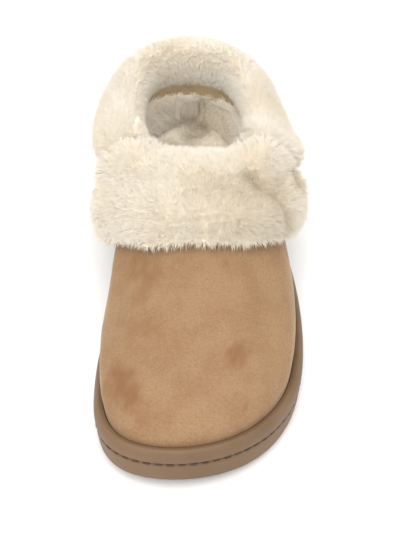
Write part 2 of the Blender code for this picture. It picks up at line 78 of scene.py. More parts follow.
# Soft creases of the suede: points (side, station, height), width and depth; a
# negative depth is a ridge
SUEDE_CREASES = (
    (((-.030, .052, .046), (-.008, .046, .049), (.012, .050, .050)), .0075, .0010),
    (((.008, .030, .045), (.026, .044, .046), (.036, .066, .044)), .0080, .0011),
    (((-.038, .084, .040), (-.024, .092, .054), (-.006, .096, .060)), .0085, .0009),
    (((.014, .082, .057), (.030, .090, .052), (.042, .100, .040)), .0080, .0010),
    (((-.016, .068, .052), (.000, .074, .054), (.016, .070, .053)), .0080, -.0008),
    (((-.024, .022, .040), (-.010, .018, .042), (.004, .020, .042)), .0060, .0007),
    (((.020, .112, .060), (.032, .118, .054), (.042, .122, .044)), .0060, .0009),
    (((-.046, .205, .060), (-.044, .215, .050), (-.042, .222, .040)), .0060, .0008),
    (((.026, .205, .060), (.024, .214, .050), (.022, .222, .042)), .0060, .0008),
    (((-.0428, .0363, .0332), (-.0448, .0510, .0313), (-.0460, .0686, .0302),
      (-.0452, .0876, .0299), (-.0410, .1079, .0304)), .0095, -.0023),
    (((.0366, .0380, .0326), (.0436, .0524, .0308), (.0475, .0693, .0299),
      (.0484, .0882, .0297), (.0475, .1084, .0302), (.0449, .1293, .0310)), .0095, -.0011),
)
# Troughs where the fur's pile parts or is pressed against a neighbour; the deeper ones are also
# painted with shade
FUR_PARTINGS = (
    (((.0247, .1372, .0829), (.0288, .1334, .0800), (.0341, .1313, .0784),
      (.0391, .1318, .0742), (.0433, .1276, .0697), (.0465, .1234, .0595)), .0042, .0072),
    (((.0401, .1397, .0792), (.0396, .1350, .0765), (.0402, .1325, .0739)), .0030, .0040),
    (((.0462, .1512, .0738), (.0490, .1465, .0700)), .0028, .0034),
    (((-.0386, .1620, .0883), (-.0349, .1716, .0876)), .0024, .0030),
    (((.0215, .1800, .0780), (.0256, .1640, .0895)), .0022, .0026),
    (((.0100, .1260, .0830), (.0180, .1240, .0820), (.0280, .1240, .0780)), .0110, .0016),
    (((-.0300, .1460, .0840), (-.0340, .1320, .0740), (-.0360, .1220, .0640)), .0070, .0010),
    (((.0520, .1720, .0720), (.0510, .1600, .0720), (.0510, .1520, .0670)), .0085, -.0038),
    (((.0515, .1580, .0725), (.0525, .1530, .0710), (.0530, .1460, .0685)), .0080, -.0040),
    (((-.0505, .1580, .0750), (-.0515, .1500, .0740)), .0075, -.0034),
    (((-.0360, .2280, .0896), (-.0234, .2397, .0903), (-.0116, .2423, .0901),
      (.0003, .2410, .0901), (.0137, .2322, .0901)), .0100, -.0024),
)
# Tufts of longer pile where the two fur pieces meet: (side, station, height), radius, share
FUR_TUFTS = (
    ((.0520, .1550, .0700), .0090, .7),
    ((-.0510, .1550, .0740), .0080, .5),
)
# Patches where the fur is painted warmer and darker: partly its own warmer tone, partly painted
# shade on the side that gets less light; a negative strength paints light: (side, station,
# height), radius, strength
FUR_TONE_AND_LIGHT_PATCHES = (
    ((.0060, .128, .0830), .017, .12),
    ((.0260, .124, .0790), .020, .18),
    ((.0410, .118, .0640), .018, .24),
    ((.0380, .140, .0790), .012, .12),
    ((.0180, .112, .0700), .010, .12),
    ((.0330, .205, .0900), .012, .06),
    # painted light on the heel collar's shaded inner face
    ((.0000, .240, .0850), .034, -.12),
)
# Hollows in the fold's top edge at the corners of the foot opening
LIP_HOLLOWS = (
    (((-.0400, .1660, .0870), (-.0330, .1650, .0870), (-.0260, .1595, .0865),
      (-.0220, .1560, .0860)), .0075, .0075),
    (((.0270, .1650, .0890), (.0210, .1610, .0870), (.0160, .1560, .0860)), .0070, .0060),
)
LEAST_PARTING = 0.0020      # shallower troughs do not part the pile, and get no painted shade
# Patches where the suede is brushed darker: (side, station, height), radius, strength
NAP_PATCHES = (
    ((-.0300, .1000, .0548), .0095, .85),
    ((-.0240, .0900, .0560), .0080, .70),
    ((-.0275, .0800, .0520), .0065, .50),
    ((-.0285, .0616, .0487), .0075, .55),
    ((-.0193, .0603, .0504), .0070, .55),
    ((-.0101, .0578, .0506), .0055, .35),
    ((-.0372, .0693, .0449), .0060, .50),
    ((-.0365, .0400, .0405), .0080, .85),
    ((-.0340, .0332, .0405), .0090, .95),
    ((-.0310, .0256, .0398), .0075, .80),
    ((-.0264, .0166, .0373), .0045, .65),
    ((-.0195, .0183, .0396), .0060, .30),
    ((.0176, .0490, .0462), .0058, .80),
    ((.0214, .0465, .0447), .0062, .90),
    ((.0235, .0535, .0455), .0050, .45),
    ((.0171, .0930, .0573), .0055, .65),
    ((.0231, .0270, .0373), .0045, .50),
    ((.0304, .0821, .0492), .0090, .35),
    ((.0452, .0544, .0270), .0060, .50),
)

# Seams and tucks of the fleece at the heel, and the line where its thick side meets
# the footbed; their troughs are pressed in and painted with shade, their ridges only raised
LINING_TUCKS = (
    (((-.0031, .2399, .0540), (-.0042, .2431, .0426), (-.0047, .2448, .0329)), .0024, .0030),
    (((-.0118, .2409, .0516), (-.0031, .2399, .0525), (.0062, .2359, .0563)), .0014, .0020),
    (((-.0180, .2420, .0400), (-.0120, .2435, .0370), (-.0070, .2445, .0340)), .0018, .0020),
    (((-.0200, .2400, .0440), (-.0270, .2360, .0420), (-.0330, .2260, .0400)), .0100, -.0030),
)
FOOTBED_TUCKS = (
    (((-.0046, .2405, .0298), (-.0080, .2368, .0298), (-.0106, .2325, .0298),
      (-.0137, .2280, .0298), (-.0164, .2244, .0299), (-.0195, .2206, .0299)), .0040, .0050),
    (((-.0200, .2400, .0300), (-.0255, .2300, .0300), (-.0290, .2200, .0300)), .0085, -.0045),
)
INSIDE_TUCKS = LINING_TUCKS + FOOTBED_TUCKS
BAND_FOOT = 0.0570          # the fleece's top edge, under the tan band inside the collar
BAND_FRONT = 0.1700         # station where that band starts
FEATHER_WIDTH = 0.0045      # the fleece thins out over this, up to its top edge
FEATHER_DEPTH = 0.0006
OPENING_FRONT = 0.120       # station from which the inside shows through the collar


def shoe_point(side, station, height):
    """A point from the shoe's own measures."""
    return Vector((LAST_X + side, TOE_Y + station, height))


# ---------------------------------------------------------------- settings

def size_setting(name, description, default):
    """A length that the panel can change."""
    return FloatProperty(name=name, description=description, default=default,
                         subtype="DISTANCE", unit="LENGTH")


def colour_setting(name, description, default):
    """A colour that the panel can change."""
    return FloatVectorProperty(name=name, description=description, default=default,
                               subtype="COLOR", size=3)


class ClogShapes(bpy.types.PropertyGroup):
    """Sizes of the finished pieces."""
    pile_length: size_setting("Pile length", "Length of the fur's fibres", 0.0054)
    pile_width: size_setting("Fibre width", "Thickness of a tuft of fibres at its root", 0.00036)
    cuff_fibres: IntProperty(name="Cuff fibres", description="Fibre tufts on the front cuff",
                             default=84000)
    collar_fibres: IntProperty(name="Collar fibres", description="Fibre tufts on the heel collar",
                               default=96000)
    fleece_length: size_setting("Fleece length", "Length of the lining's fibres", 0.0026)
    fleece_fibres: IntProperty(name="Fleece fibres", default=24000,
                               description="Fibre tufts on the lining and footbed")
    shell_inset: size_setting("Shell inset", "How far the fur's under-shell lies inside", 0.0027)
    shell_voxel: size_setting("Shell detail", "Edge length of the fur's under-shell", 0.0022)
    stitch_pitch: size_setting("Stitch pitch", "Spacing of the sole's stitches", 0.0055)
    stitch_length: size_setting("Stitch length", "Length of one stitch", 0.0034)


class ClogColours(bpy.types.PropertyGroup):
    """Colours of the finishes."""
    suede: colour_setting("Suede", "Colour of the brushed suede", (0.270, 0.163, 0.0855))
    suede_dark: colour_setting("Suede nap", "Suede brushed the other way", (0.200, 0.098, 0.041))
    rubber: colour_setting("Rubber", "Colour of the moulded sole", (0.163, 0.096, 0.050))
    thread: colour_setting("Thread", "Colour of the sole's stitches", (0.082, 0.048, 0.027))
    fur_tip: colour_setting("Fur tips", "Colour of the fur's tips", (0.925, 0.862, 0.752))
    # Fur roots: painted shade deep in the pile, darker than the tips
    fur_root_shade: colour_setting("Fur roots", "Colour deep in the fur", (0.800, 0.715, 0.580))
    fleece: colour_setting("Fleece", "Colour of the lining", (0.950, 0.865, 0.720))
    fleece_tip: colour_setting("Fleece tips", "Colour of its tips", (0.970, 0.895, 0.770))
    band: colour_setting("Band", "Colour of the band inside the collar", (0.550, 0.405, 0.250))
    floor: colour_setting("Floor", "Colour of the floor", (0.90, 0.90, 0.895))


# ---------------------------------------------------------------- node groups and finishes

def add_socket(group, name, kind, direction, default=None):
    """A named socket of a node group."""
    socket = group.interface.new_socket(name=name, in_out=direction, socket_type=kind)
    if default is not None:
        socket.default_value = default
    return socket


def mottle_group():
    """Node group: patches and fine grain between two colours, with a height."""
    group = bpy.data.node_groups.new("Mottle", "ShaderNodeTree")
    add_socket(group, "Colour", "NodeSocketColor", "INPUT")
    add_socket(group, "Patch Colour", "NodeSocketColor", "INPUT")
    add_socket(group, "Patch Scale", "NodeSocketFloat", "INPUT", 30)
    add_socket(group, "Grain Scale", "NodeSocketFloat", "INPUT", 900)
    add_socket(group, "Grain Amount", "NodeSocketFloat", "INPUT", 0.2)
    add_socket(group, "Colour", "NodeSocketColor", "OUTPUT")
    add_socket(group, "Height", "NodeSocketFloat", "OUTPUT")
    nodes, links = group.nodes, group.links
    inputs = nodes.new("NodeGroupInput")
    outputs = nodes.new("NodeGroupOutput")
    place = nodes.new("ShaderNodeTexCoord")
    patches = nodes.new("ShaderNodeTexNoise")
    patches.inputs["Detail"].default_value = 4
    patches.inputs["Roughness"].default_value = 0.55
    patches.inputs["Distortion"].default_value = 0.1
    ramp = nodes.new("ShaderNodeMapRange")
    ramp.interpolation_type = "SMOOTHSTEP"
    ramp.inputs["From Min"].default_value = 0.40
    ramp.inputs["From Max"].default_value = 0.66
    grain = nodes.new("ShaderNodeTexNoise")
    grain.inputs["Detail"].default_value = 3
    grain.inputs["Roughness"].default_value = 0.7
    links.new(place.outputs["Object"], patches.inputs["Vector"])
    links.new(place.outputs["Object"], grain.inputs["Vector"])
    links.new(inputs.outputs["Patch Scale"], patches.inputs["Scale"])
    links.new(inputs.outputs["Grain Scale"], grain.inputs["Scale"])
    links.new(patches.outputs["Fac"], ramp.inputs["Value"])
    blend = nodes.new("ShaderNodeMix")
    blend.data_type = "RGBA"
    links.new(ramp.outputs["Result"], blend.inputs["Factor"])
    links.new(inputs.outputs["Colour"], blend.inputs["A"])
    links.new(inputs.outputs["Patch Colour"], blend.inputs["B"])
    shade = nodes.new("ShaderNodeMapRange")
    shade.inputs["From Min"].default_value = 0.32
    shade.inputs["From Max"].default_value = 0.68
    shade.inputs["To Min"].default_value = 0.70
    shade.inputs["To Max"].default_value = 1.30
    links.new(grain.outputs["Fac"], shade.inputs["Value"])
    grained = nodes.new("ShaderNodeMix")
    grained.data_type = "RGBA"
    grained.blend_type = "MULTIPLY"
    links.new(inputs.outputs["Grain Amount"], grained.inputs["Factor"])
    links.new(blend.outputs["Result"], grained.inputs["A"])
    links.new(shade.outputs["Result"], grained.inputs["B"])
    links.new(grained.outputs["Result"], outputs.inputs["Colour"])
    links.new(grain.outputs["Fac"], outputs.inputs["Height"])
    return group


def new_finish(name, roughness):
    """A Principled material and its shader."""
    material = bpy.data.materials.new(name)
    material.use_nodes = True
    shader = material.node_tree.nodes["Principled BSDF"]
    shader.inputs["Roughness"].default_value = roughness
    shader.inputs["Metallic"].default_value = 0.0
    shader.inputs["Specular IOR Level"].default_value = 0.3
    return material, shader


def mottled_finish(name, roughness, colours, scales, grain, bump):
    """A material from the Mottle group: colours, patch and grain scales, bump depth."""
    material, shader = new_finish(name, roughness)
    nodes, links = material.node_tree.nodes, material.node_tree.links
    mottle = nodes.new("ShaderNodeGroup")
    mottle.node_tree = bpy.data.node_groups.get("Mottle") or mottle_group()
    mottle.inputs["Colour"].default_value = (*colours[0], 1)
    mottle.inputs["Patch Colour"].default_value = (*colours[1], 1)
    mottle.inputs["Patch Scale"].default_value = scales[0]
    mottle.inputs["Grain Scale"].default_value = scales[1]
    mottle.inputs["Grain Amount"].default_value = grain
    links.new(mottle.outputs["Colour"], shader.inputs["Base Color"])
    relief = nodes.new("ShaderNodeBump")
    relief.inputs["Distance"].default_value = bump
    relief.inputs["Strength"].default_value = 0.6
    links.new(mottle.outputs["Height"], relief.inputs["Height"])
    links.new(relief.outputs["Normal"], shader.inputs["Normal"])
    return material, shader


def shaded_by_tint(material, colour, deepest):
    """Darken a colour by the values written on the mesh, towards a warm painted shade where they
    are low: tone from tuft to tuft, with painted shade and painted light.
    """
    nodes, links = material.node_tree.nodes, material.node_tree.links
    tint_and_shade = nodes.new("ShaderNodeAttribute")
    tint_and_shade.attribute_name = "tint_and_shade"
    shade = nodes.new("ShaderNodeMix")
    shade.data_type = "RGBA"
    shade.inputs["A"].default_value = (*deepest, 1)
    shade.inputs["B"].default_value = (1.06, 1.06, 1.06, 1)
    links.new(tint_and_shade.outputs["Fac"], shade.inputs["Factor"])
    tinted = nodes.new("ShaderNodeMix")
    tinted.data_type = "RGBA"
    tinted.blend_type = "MULTIPLY"
    tinted.inputs["Factor"].default_value = 1
    links.new(colour, tinted.inputs["A"])
    links.new(shade.outputs["Result"], tinted.inputs["B"])
    links.new(tinted.outputs["Result"], nodes["Principled BSDF"].inputs["Base Color"])


def suede_finish(colours):
    """Brushed suede: darker nap patches, fine grain and a paler sheen at the edges."""
    patch = [0.7 * light + 0.3 * dark for light, dark in zip(colours.suede, colours.suede_dark)]
    material, shader = mottled_finish("suede", 0.95, (colours.suede, patch), (75, 1000),
                                      0.5, 0.00022)
    shader.inputs["Sheen Weight"].default_value = 0.30
    shader.inputs["Sheen Roughness"].default_value = 0.40
    shader.inputs["Sheen Tint"].default_value = (1.0, 0.84, 0.66, 1)
    nodes, links = material.node_tree.nodes, material.node_tree.links
    nap = nodes.new("ShaderNodeAttribute")
    nap.attribute_name = "nap"
    brushed = nodes.new("ShaderNodeMix")
    brushed.data_type = "RGBA"
    brushed.inputs["B"].default_value = (*colours.suede_dark, 1)
    mottle = nodes["Group"]
    links.new(nap.outputs["Fac"], brushed.inputs["Factor"])
    links.new(mottle.outputs["Colour"], brushed.inputs["A"])
    links.new(brushed.outputs["Result"], shader.inputs["Base Color"])
    return material


def rubber_finish(colours):
    """Matte moulded rubber."""
    darker = [part * 0.82 for part in colours.rubber]
    material, _ = mottled_finish("sole_rubber", 0.55, (colours.rubber, darker),
                                 (18, 2200), 0.25, 0.00008)
    return material


def fleece_finish(colours):
    """Short curled fleece, with painted shade along its seams and tucks."""
    darker = [part * 0.86 for part in colours.fleece]
    material, shader = mottled_finish("fleece", 1.0, (colours.fleece, darker),
                                      (120, 500), 0.4, 0.0009)
    shader.inputs["Sheen Weight"].default_value = 0.2
    shaded_by_tint(material, material.node_tree.nodes["Group"].outputs["Colour"],
                   FLEECE_PAINTED_SHADE)
    return material


def fur_finish(name, tip, root):
    """Deep pile: painted shade towards the roots and in partings, tone that differs from tuft to
    tuft, and soft patches of tone, painted shade and painted light.
    """
    material, shader = new_finish(name, 1.0)
    shader.inputs["Sheen Weight"].default_value = 0.1
    shader.inputs["Sheen Roughness"].default_value = 0.6
    nodes, links = material.node_tree.nodes, material.node_tree.links
    along = nodes.new("ShaderNodeAttribute")
    along.attribute_name = "along"
    mottle = nodes.new("ShaderNodeGroup")
    mottle.node_tree = bpy.data.node_groups.get("Mottle") or mottle_group()
    mottle.inputs["Colour"].default_value = (*tip, 1)
    patch = (tip[0] * 0.95, tip[1] * 0.91, tip[2] * 0.83)
    mottle.inputs["Patch Colour"].default_value = (*patch, 1)
    mottle.inputs["Patch Scale"].default_value = 34
    mottle.inputs["Grain Amount"].default_value = 0
    # Painted shade at the roots, fading to the tip colour along each fibre
    depth = nodes.new("ShaderNodeMix")
    depth.data_type = "RGBA"
    depth.inputs["A"].default_value = (*root, 1)
    links.new(along.outputs["Fac"], depth.inputs["Factor"])
    links.new(mottle.outputs["Colour"], depth.inputs["B"])
    shaded_by_tint(material, depth.outputs["Result"], FUR_PAINTED_SHADE)
    return material


# ---------------------------------------------------------------- meshes

def place_piece(name, mesh, material, nodes=()):
    """Put a finished mesh in the scene on the shoe's body."""
    piece = bpy.data.objects.new(name, mesh)
    bpy.context.scene.collection.objects.link(piece)
    mesh.materials.clear()
    mesh.materials.append(material)
    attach(piece, BODY)
    if nodes:
        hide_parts(*nodes)
    return piece


def merged_copy(node):
    """A node's mesh as a bmesh with its loose triangles joined up into quads."""
    builder = bmesh.new()
    builder.from_mesh(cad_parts[node].data)
    bmesh.ops.remove_doubles(builder, verts=builder.verts, dist=1e-6)
    bmesh.ops.join_triangles(builder, faces=builder.faces, angle_face_threshold=math.radians(25),
                             angle_shape_threshold=math.radians(60))
    return builder


def modified_mesh(builder, name, *modifiers):
    """The mesh of a bmesh after some modifiers, each a (type, settings) pair."""
    source = bpy.data.meshes.new(name)
    builder.to_mesh(source)
    builder.free()
    carrier = bpy.data.objects.new(name, source)
    bpy.context.scene.collection.objects.link(carrier)
    for kind, settings in modifiers:
        modifier = carrier.modifiers.new(kind.title(), kind)
        for key, value in settings.items():
            setattr(modifier, key, value)
    bpy.context.view_layer.update()
    depsgraph = bpy.context.evaluated_depsgraph_get()
    mesh = bpy.data.meshes.new_from_object(carrier.evaluated_get(depsgraph))
    bpy.data.objects.remove(carrier)
    bpy.data.meshes.remove(source)
    mesh.name = name
    mesh.shade_smooth()
    return mesh


def subdivided(levels):
    """Settings of a Subdivision Surface with equal view and render levels."""
    return ("SUBSURF", {"levels": levels, "render_levels": levels})


def vertex_array(mesh, what):
    """The places ("co") or normals ("normal") of a mesh's vertices."""
    values = np.empty(len(mesh.vertices) * 3, np.float32)
    mesh.vertices.foreach_get(what, values)
    return values.reshape(-1, 3).astype(float)


def nearest_on_line(points, line):
    """For each point the nearest place on a line and its distance."""
    places = np.zeros_like(points)
    best = np.full(len(points), 1.0)
    for start, end in zip(line, line[1:]):
        start, run = np.array(start), np.array(end - start)
        share = np.clip((points - start) @ run / (run @ run), 0, 1)
        place = start + share[:, None] * run
        distance = np.linalg.norm(points - place, axis=1)
        closer = distance < best
        best[closer] = distance[closer]
        places[closer] = place[closer]
    return places, best


def press_creases(mesh, creases, body=None):
    """Push a surface in along soft troughs, or out along ridges; where a body is given, never
    through it.
    """
    points, normals = vertex_array(mesh, "co"), vertex_array(mesh, "normal")
    for line, width, depth in creases:
        _, distance = nearest_on_line(points, [shoe_point(*point) for point in line])
        shift = depth * np.exp(-2 * (distance / width) ** 2)
        if body:
            for k in np.flatnonzero(shift > 0.0005):
                start = Vector(points[k] - normals[k] * 1e-4)
                far, _, _, thickness = body.ray_cast(start, Vector(-normals[k]))
                if far:
                    shift[k] = min(shift[k], 0.35 * thickness)
        points -= normals * shift[:, None]
    mesh.vertices.foreach_set("co", points.astype(np.float32).ravel())
    mesh.update()


def patch_strength(points, patches):
    """How strongly some soft patches act at each point."""
    values = np.zeros(len(points))
    for centre, radius, strength in patches:
        gap = np.linalg.norm(points - np.array(shoe_point(*centre)), axis=1)
        values += strength * np.exp(-1.6 * (gap / radius) ** 2)
    return np.minimum(values, 1.2)


def brush_nap(mesh, patches):
    """Write how darkly the nap is brushed at each point: soft, uneven patches."""
    points = vertex_array(mesh, "co")
    noise.seed_set(NAP_SEED)
    stray = np.array([noise.noise_vector(Vector(point) * 140) * 0.0060
                      + noise.noise_vector(Vector(point) * 480) * 0.0030 for point in points])
    layer = mesh.attributes.new("nap", "FLOAT", "POINT")
    strength = np.minimum(patch_strength(points + stray, patches), 1)
    layer.data.foreach_set("value", strength.astype(np.float32))


def mesh_tree(mesh):
    """A search tree over a mesh."""
    builder = bmesh.new()
    builder.from_mesh(mesh)
    tree = BVHTree.FromBMesh(builder)
    builder.free()
    return tree


def solid_tree(*nodes):
    """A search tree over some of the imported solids."""
    builder = bmesh.new()
    for node in nodes:
        builder.from_mesh(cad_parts[node].data)
    tree = BVHTree.FromBMesh(builder)
    builder.free()
    return tree


# ---------------------------------------------------------------- fur

# Blender's own noise takes its seed from the clock unless it is set before each use
NAP_SEED, CUFF_SEED, COLLAR_SEED, FLEECE_SEED = 7, 11, 12, 31
STRANDS_A_PIECE = 48000
SHELL_TONE = 0.45           # how far from the roots' painted shade to the tip colour a shell is painted
FUR_PAINTED_SHADE = (0.42, 0.36, 0.25)        # painted shade of the fur, reached in its partings
# painted shade of the fleece, reached along its seams and tucks
FLEECE_PAINTED_SHADE = (0.26, 0.21, 0.13)
PILE_LIGHT = np.array((0.0, -0.23, 0.38))   # light caught inside the pile evens its shading
Fibres = namedtuple("Fibres", "count length width lean swirl clumps partings")


def anywhere(centre, direction):
    """Fur grows on every face."""
    return True


def scatter_roots(mesh, count, blockers, length, chance, keep):
    """Roots over a shell: positions, normals and the room above each, where there is any."""
    mesh.calc_loop_triangles()
    corners = np.empty(len(mesh.loop_triangles) * 3, np.int32)
    mesh.loop_triangles.foreach_get("vertices", corners)
    corners = corners.reshape(-1, 3)
    points, normals = vertex_array(mesh, "co"), vertex_array(mesh, "normal")
    triangles = points[corners]
    cross = np.cross(triangles[:, 1] - triangles[:, 0], triangles[:, 2] - triangles[:, 0])
    area = np.linalg.norm(cross, axis=1) / 2
    face_normal = cross / np.maximum(2 * area[:, None], 1e-12)
    middle = triangles.mean(1)
    room = np.full(len(corners), length * 2)
    for k, (centre, direction) in enumerate(zip(middle, face_normal)):
        if not keep(centre, direction):
            room[k] = 0
            continue
        hit = blockers.ray_cast(Vector(centre), Vector(direction), length * 2)
        if hit[0] is not None:
            room[k] = hit[3]
    weight = np.where(room > length * 0.35, area, 0)
    picks = chance.choice(len(corners), size=count, p=weight / weight.sum())
    share = chance.random((count, 2))
    flip = share.sum(1) > 1
    share[flip] = 1 - share[flip]
    mix = np.column_stack([1 - share.sum(1), share])
    roots = np.einsum("nk,nkd->nd", mix, triangles[picks])
    up = np.einsum("nk,nkd->nd", mix, normals[corners[picks]])
    up /= np.linalg.norm(up, axis=1)[:, None]
    return roots, up, np.minimum(room[picks] * 0.85, length)


def gather_clumps(roots, tips, share, size, chance):
    """Draw the tips together in clumps about size across."""
    count = max(8, int(len(roots) * size))
    centres = chance.choice(len(roots), size=count, replace=False)
    tree = KDTree(count)
    for k, centre in enumerate(centres):
        tree.insert(roots[centre], k)
    tree.balance()
    nearest = np.array([centres[tree.find(root)[1]] for root in roots])
    return tips + (tips[nearest] - tips) * share[:, None], nearest


def strand_mesh(name, roots, tips, up, width, chance, tones_and_shade):
    """One closed three-sided spike for each tuft, all joined in one mesh."""
    count = len(roots)
    way = tips - roots
    length = np.linalg.norm(way, axis=1)[:, None]
    way /= np.maximum(length, 1e-9)
    across = np.cross(way, chance.normal(size=(count, 3)))
    across /= np.linalg.norm(across, axis=1)[:, None]
    beside = np.cross(way, across)
    turn = np.radians((0, 120, 240))
    ring = across[:, None] * np.cos(turn)[None, :, None]
    ring = ring + beside[:, None] * np.sin(turn)[None, :, None]
    radius = (width / 2 * chance.uniform(0.7, 1.3, count))[:, None, None]
    points = np.empty((count, 4, 3))
    points[:, 0:3] = roots[:, None] + ring * radius
    points[:, 3] = tips
    corners = np.array((0, 2, 1, 0, 1, 3, 1, 2, 3, 2, 0, 3))
    loops = (corners[None] + 4 * np.arange(count)[:, None]).ravel()
    mesh = bpy.data.meshes.new(name)
    mesh.vertices.add(4 * count)
    mesh.vertices.foreach_set("co", points.astype(np.float32).ravel())
    mesh.loops.add(len(loops))
    mesh.loops.foreach_set("vertex_index", loops.astype(np.int32))
    mesh.polygons.add(4 * count)
    mesh.polygons.foreach_set("loop_start", np.arange(0, 12 * count, 3, dtype=np.int32))
    mesh.update(calc_edges=True)
    mesh.validate()
    along = mesh.attributes.new("along", "FLOAT", "POINT")
    along.data.foreach_set("value", np.tile((0, 0, 0, 1), count).astype(np.float32))
    tint_and_shade = mesh.attributes.new("tint_and_shade", "FLOAT", "POINT")
    tint_and_shade.data.foreach_set("value", np.repeat(tones_and_shade, 4).astype(np.float32))
    mesh.shade_smooth()
    soft = np.empty((count, 4, 3))
    soft[:, 0:3] = (up * 0.62 + PILE_LIGHT)[:, None] + ring * 0.28
    soft[:, 3] = up * 0.55 + way * 0.25 + PILE_LIGHT
    soft /= np.linalg.norm(soft, axis=2)[:, :, None]
    mesh.normals_split_custom_set_from_vertices(soft.reshape(-1, 3).astype(np.float32).tolist())
    return mesh


def parting_pull(points, partings):
    """How strongly a parting acts at each point, and the way to the parting from there."""
    strongest = np.zeros(len(points))
    aside = np.zeros_like(points)
    for line, width, depth in partings:
        if depth < LEAST_PARTING:
            continue
        places, distance = nearest_on_line(points, [shoe_point(*point) for point in line])
        pull = np.exp(-1.2 * (distance / width) ** 2) * min(depth / 0.004, 1)
        stronger = pull > strongest
        strongest[stronger] = pull[stronger]
        aside[stronger] = (points - places)[stronger]
    return strongest, aside


def part_fibres(roots, up, way, room, partings):
    """Lay the pile away from its partings, and shorten it there."""
    pull, aside = parting_pull(roots, partings)
    aside -= up * (aside * up).sum(1)[:, None]
    aside /= np.maximum(np.linalg.norm(aside, axis=1), 1e-6)[:, None]
    return way + aside * pull[:, None] * 0.5, room * (1 - 0.80 * np.sqrt(pull)), pull


def grow_fur(mesh, name, fibres, material, seed, blockers, keep=anywhere):
    """Cover a shell with tufts of fibres, in pieces of a modest size."""
    chance = np.random.default_rng(seed)
    count = fibres.count
    roots, up, room = scatter_roots(mesh, count, blockers, fibres.length, chance, keep)
    down = np.array([0, 0, -1.0]) + up * up[:, 2:3]
    noise.seed_set(seed)
    swirl = np.array([noise.noise_vector(Vector(root) * 80) for root in roots])
    way = up + down * fibres.lean + swirl * fibres.swirl
    way += chance.normal(size=up.shape) * 0.16
    room *= 1 + patch_strength(roots, FUR_TUFTS)
    way, room, pull = part_fibres(roots, up, way, room, fibres.partings)
    way /= np.linalg.norm(way, axis=1)[:, None]
    tips = roots + way * (room * chance.uniform(0.8, 1.1, count))[:, None]
    tips, nearest = gather_clumps(roots, tips, chance.uniform(0.10, 0.50, count),
                                  fibres.clumps, chance)
    tones_and_shade = 1 - 0.10 * chance.random(count) - 0.12 * chance.random(count)[nearest]
    # Painted shade in the partings, and patches of warmer tone, painted shade and painted light
    tones_and_shade *= (1 - 0.85 * pull ** 0.6) * (1 - patch_strength(roots, FUR_TONE_AND_LIGHT_PATCHES))
    pieces = math.ceil(count / STRANDS_A_PIECE)
    for k in range(pieces):
        pick = slice(k * count // pieces, (k + 1) * count // pieces)
        strands = strand_mesh(f"{name}_{k + 1}", roots[pick], tips[pick], up[pick],
                              fibres.width, chance, tones_and_shade[pick])
        place_piece(f"{name}_{k + 1}", strands, material)


def inset_shell(mesh, inset, share, neighbour):
    """Draw a shell in by the inset, but out towards a neighbour that it presses against."""
    tree = mesh_tree(mesh)
    moved = []
    for vertex in mesh.vertices:
        across = tree.ray_cast(vertex.co - vertex.normal * 1e-4, -vertex.normal)
        room = across[3] if across[0] is not None else 0
        shift = -min(inset, room * share)
        place, _, _, gap = neighbour.find_nearest(vertex.co)
        facing = max(0, vertex.normal.dot((place - vertex.co).normalized()))
        near = max(0, 1 - gap / 0.009) ** 0.5 * facing
        moved.append(vertex.co + vertex.normal * (shift * (1 - near) + gap * 0.5 * near))
    for vertex, place in zip(mesh.vertices, moved):
        vertex.co = place
    mesh.update()


def relaxed(mesh, rounds):
    """Even out a shell's small bumps."""
    builder = bmesh.new()
    builder.from_mesh(mesh)
    for _ in range(rounds):
        bmesh.ops.smooth_vert(builder, verts=builder.verts, factor=0.5, use_axis_x=True,
                              use_axis_y=True, use_axis_z=True)
    builder.to_mesh(mesh)
    builder.free()


def fur_shell(node, beside, name, shapes):
    """The soft under-shell of a fur piece: its solid, blended over and drawn in."""
    mesh = modified_mesh(merged_copy(node), name,
                         ("REMESH", {"mode": "VOXEL", "voxel_size": shapes.shell_voxel}),
                         ("SMOOTH", {"factor": 0.5, "iterations": 20}))
    inset_shell(mesh, shapes.shell_inset, 0.3, solid_tree(beside))
    relaxed(mesh, 8)
    press_creases(mesh, FUR_PARTINGS + LIP_HOLLOWS, mesh_tree(mesh))
    relaxed(mesh, 4)
    shell_attributes(mesh, FUR_PARTINGS)
    mesh.shade_smooth()
    return mesh


def shell_attributes(mesh, partings):
    """Give a shell the attributes that the pile's finish reads: painted shade along partings and
    in patches, painted light where a patch's strength is negative.
    """
    points = vertex_array(mesh, "co")
    pull, _ = parting_pull(points, partings)
    # painted shade along partings, and patches of tone, painted shade and painted light
    tones_and_shade = 0.86 * (1 - 0.85 * pull ** 0.6) * (1 - patch_strength(points, FUR_TONE_AND_LIGHT_PATCHES))
    for name, values in (("along", np.full(len(pull), SHELL_TONE)), ("tint_and_shade", tones_and_shade)):
        layer = mesh.attributes.new(name, "FLOAT", "POINT")
        layer.data.foreach_set("value", values.astype(np.float32))


# ---------------------------------------------------------------- operators

class CLOG_OT_outsole(bpy.types.Operator):
    """Smooth the moulded sole and give it its rubber"""
    bl_idname = "clog.outsole"
    bl_label = "Outsole"

    def execute(self, context):
        builder = merged_copy("outsole")
        crease = builder.edges.layers.float.new("crease_edge")
        for edge in builder.edges:
            if len(edge.link_faces) == 2 and edge.calc_face_angle() > math.radians(50):
                edge[crease] = 0.85
        mesh = modified_mesh(builder, "sole", subdivided(2))
        fill_groove(mesh, groove_path(GROOVE_POINTS), GROOVE_FILL)
        rubber = rubber_finish(context.scene.clog_colours)
        place_piece("sole", mesh, rubber, ["outsole"])
        return {"FINISHED"}


